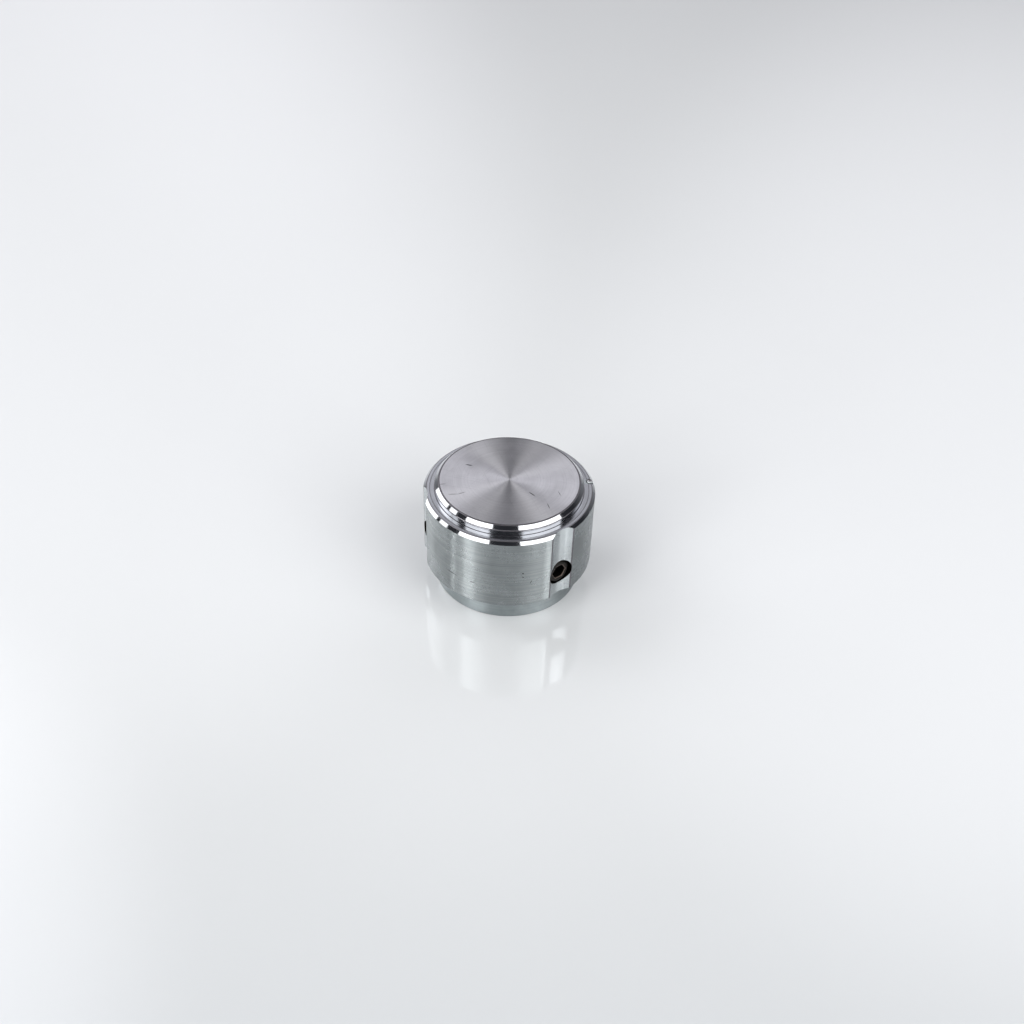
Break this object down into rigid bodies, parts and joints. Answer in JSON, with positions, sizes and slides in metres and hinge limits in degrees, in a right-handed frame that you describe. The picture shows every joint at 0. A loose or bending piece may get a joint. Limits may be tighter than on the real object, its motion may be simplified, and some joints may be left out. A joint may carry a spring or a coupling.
{
  "type": "control knob",
  "caption": "Turned aluminium control knob with a stepped, chamfered crown, scalloped grip with hex socket set screws, and a blind shaft bore in its base.",
  "frame": {"origin": "centre of the shaft bore's mouth, in the plane of the base face", "axes": "+Z along the shaft axis, from the base to the top face; -Y out along the axis of one set screw"},
  "size_m": [0.025, 0.0249, 0.0172],
  "materials": {
    "turned_aluminium": "fine turned, bright chamfers",
    "black_oxide_steel": "black oxide"
  },
  "bodies": {
    "root": {"knob_body": "turned_aluminium", "set_screws": "black_oxide_steel"}
  },
  "joints": []
}
